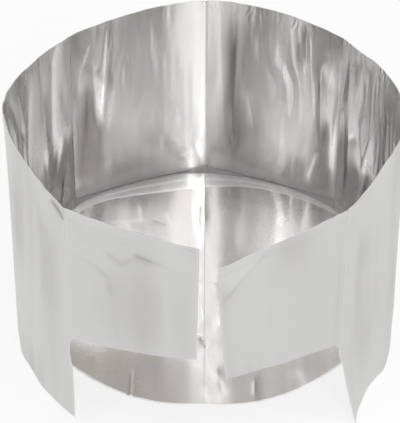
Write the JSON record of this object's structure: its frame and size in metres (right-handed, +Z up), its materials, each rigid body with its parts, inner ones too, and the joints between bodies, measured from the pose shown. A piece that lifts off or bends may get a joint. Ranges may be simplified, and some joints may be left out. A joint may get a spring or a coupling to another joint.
{
  "type": "stove windscreen",
  "caption": "Folding foil windscreen that stands in an open ring around a camping stove, with a notch for the fuel line and a round folding heat reflector inside.",
  "frame": {"origin": "on the ring's axis, on the ground that the sheet's lower edge stands on", "axes": "+Z up along the ring's axis, -Y towards the open front with the fuel line notch, +X to the right"},
  "size_m": [0.2618, 0.2797, 0.182],
  "materials": {
    "sheet_foil": "satin foil",
    "reflector_foil": "bright foil"
  },
  "bodies": {
    "back_left_panel": {"back_left_panel": "sheet_foil"},
    "back_right_panel": {"back_right_panel": "sheet_foil"},
    "left_rear_panel": {"left_rear_panel": "sheet_foil"},
    "left_front_panel": {"left_front_panel": "sheet_foil"},
    "left_end_panel": {"left_end_panel": "sheet_foil"},
    "right_rear_panel": {"right_rear_panel": "sheet_foil"},
    "right_front_panel": {"right_front_panel": "sheet_foil"},
    "right_end_panel": {"right_end_panel": "sheet_foil"},
    "reflector_right": {"reflector_right": "reflector_foil"},
    "reflector_left": {"reflector_left": "reflector_foil"}
  },
  "joints": [
    {"name": "back_fold", "type": "hinge", "parent": "back_left_panel", "child": "back_right_panel", "pos_m": [0, 0.13053, 0.091], "axis": [0, 0, 1], "range_deg": [0, 46]},
    {"name": "right_rear_fold", "type": "hinge", "parent": "back_right_panel", "child": "right_rear_panel", "pos_m": [0.09389, 0.09067, 0.091], "axis": [0, 0, 1], "range_deg": [0, 46]},
    {"name": "right_side_fold", "type": "hinge", "parent": "right_rear_panel", "child": "right_front_panel", "pos_m": [0.13045, -0.00456, 0.091], "axis": [0, 0, 1], "range_deg": [0, 46]},
    {"name": "right_end_fold", "type": "hinge", "parent": "right_front_panel", "child": "right_end_panel", "pos_m": [0.08734, -0.097, 0.091], "axis": [0, 0, 1], "range_deg": [-116, 123]},
    {"name": "left_rear_fold", "type": "hinge", "parent": "back_left_panel", "child": "left_rear_panel", "pos_m": [-0.09389, 0.09067, 0.091], "axis": [0, 0, -1], "range_deg": [0, 46]},
    {"name": "left_side_fold", "type": "hinge", "parent": "left_rear_panel", "child": "left_front_panel", "pos_m": [-0.13045, -0.00456, 0.091], "axis": [0, 0, -1], "range_deg": [0, 46]},
    {"name": "left_end_fold", "type": "hinge", "parent": "left_front_panel", "child": "left_end_panel", "pos_m": [-0.08734, -0.097, 0.091], "axis": [0, 0, -1], "range_deg": [-107, 132]},
    {"name": "reflector_lift", "type": "slide", "parent": "back_left_panel", "child": "reflector_right", "axis": [0, 0, 1], "range_m": [0, 0.15]},
    {"name": "reflector_fold", "type": "hinge", "parent": "reflector_right", "child": "reflector_left", "pos_m": [0, 0, 0.03855], "axis": [0, 1, 0], "range_deg": [0, 180]}
  ]
}
